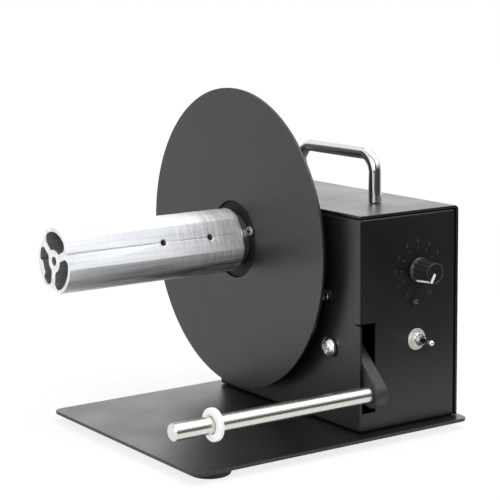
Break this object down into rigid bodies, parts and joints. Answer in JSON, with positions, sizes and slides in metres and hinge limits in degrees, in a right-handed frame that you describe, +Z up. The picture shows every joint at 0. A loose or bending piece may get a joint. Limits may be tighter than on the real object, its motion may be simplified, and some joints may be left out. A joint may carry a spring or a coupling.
{
  "type": "label rewinder",
  "caption": "Bench-top label rewinder: motor housing on a base plate, grooved aluminium spindle with a round flange disc, swing arm with guide rod.",
  "frame": {"origin": "on the surface that the machine stands on, under the middle of the whole machine's box at rest", "axes": "+X from the spindle's free end towards the housing, +Y from the control panel to the rear, +Z up"},
  "size_m": [0.2144, 0.2274, 0.2045],
  "materials": {
    "base_coat": "satin black powder coat",
    "shell_coat": "satin black powder coat",
    "cover_coat": "satin black powder coat",
    "disc_coat": "satin black powder coat",
    "hub_black": "black oxide",
    "foot_rubber": "matte",
    "zinc_steel": "bright zinc plate",
    "screw_chrome": "bright plate",
    "switch_nickel": "bright nickel plate",
    "handle_stainless": "polished stainless",
    "rod_stainless": "polished stainless",
    "spindle_aluminium": "raw extrusion",
    "hub_aluminium": "turned",
    "arm_cast": "rough cast, dark grey",
    "bush_bronze": "plain bearing bronze",
    "collar_nylon": "white nylon",
    "post_nylon": "white nylon",
    "black_plastic": "moulded",
    "knob_plastic": "moulded, fine satin",
    "pointer_white": "white inlay",
    "lamp_red": "tinted clear lens",
    "board_green": "solder mask"
  },
  "bodies": {
    "frame": {"base_plate": "base_coat", "foot_front_left": "foot_rubber", "foot_front_right": "foot_rubber", "foot_rear_left": "foot_rubber", "foot_rear_right": "foot_rubber", "housing_shell": "shell_coat", "housing_cover": "cover_coat", "base_screw_1": "zinc_steel", "base_screw_2": "zinc_steel", "base_screw_3": "zinc_steel", "base_screw_4": "zinc_steel", "cover_screw_1": "zinc_steel", "cover_screw_2": "zinc_steel", "cover_screw_3": "zinc_steel", "cover_screw_4": "zinc_steel", "carry_handle": "handle_stainless", "handle_screw_front": "zinc_steel", "handle_screw_rear": "zinc_steel", "gearbox_housing": "zinc_steel", "motor_can": "zinc_steel", "gearbox_screw_1": "zinc_steel", "gearbox_screw_2": "zinc_steel", "gearbox_screw_3": "zinc_steel", "arm_pivot_screw": "screw_chrome", "pivot_washer": "zinc_steel", "pivot_nut": "zinc_steel", "arm_stop_stud": "zinc_steel", "slot_sensor": "black_plastic", "sensor_bracket": "zinc_steel", "sensor_screw": "screw_chrome", "potentiometer_body": "zinc_steel", "potentiometer_nut": "zinc_steel", "switch_body": "black_plastic", "switch_washer": "switch_nickel", "switch_nut": "switch_nickel", "power_lamp": "lamp_red", "lamp_clip": "black_plastic", "power_inlet": "black_plastic", "inlet_nut": "zinc_steel", "control_board": "board_green", "board_post_1": "post_nylon", "board_post_2": "post_nylon", "board_post_3": "post_nylon", "board_post_4": "post_nylon"},
    "spindle": {"spindle_profile": "spindle_aluminium", "flange_disc": "disc_coat", "hub_flange": "hub_black", "drive_hub": "hub_aluminium", "output_shaft": "zinc_steel", "spindle_stud": "zinc_steel", "hub_set_screw": "hub_black"},
    "arm": {"swing_arm": "arm_cast", "arm_bush": "bush_bronze", "guide_rod": "rod_stainless", "rod_screw": "zinc_steel"},
    "collar": {"guide_collar": "collar_nylon"},
    "knob": {"speed_knob": "knob_plastic", "knob_pointer": "pointer_white", "potentiometer_shaft": "hub_aluminium"},
    "toggle": {"toggle_lever": "switch_nickel"}
  },
  "joints": [
    {"name": "spindle_turn", "type": "hinge", "parent": "frame", "child": "spindle", "pos_m": [0.01965, 0.01872, 0.1095], "axis": [1, 0, 0], "continuous": true},
    {"name": "arm_swing", "type": "hinge", "parent": "frame", "child": "arm", "pos_m": [0.03695, -0.06907, 0.0548], "axis": [-1, 0, 0], "range_deg": [0, 45]},
    {"name": "collar_slide", "type": "slide", "parent": "arm", "child": "collar", "axis": [1, 0, 0], "range_m": [-0.024, 0.103]},
    {"name": "knob_turn", "type": "hinge", "parent": "frame", "child": "knob", "pos_m": [0.07395, -0.09748, 0.101], "axis": [0, 1, 0], "range_deg": [0, 300]},
    {"name": "toggle_tilt", "type": "hinge", "parent": "frame", "child": "toggle", "pos_m": [0.07245, -0.09867, 0.0591], "axis": [0, 0, 1], "range_deg": [-12, 12]}
  ]
}
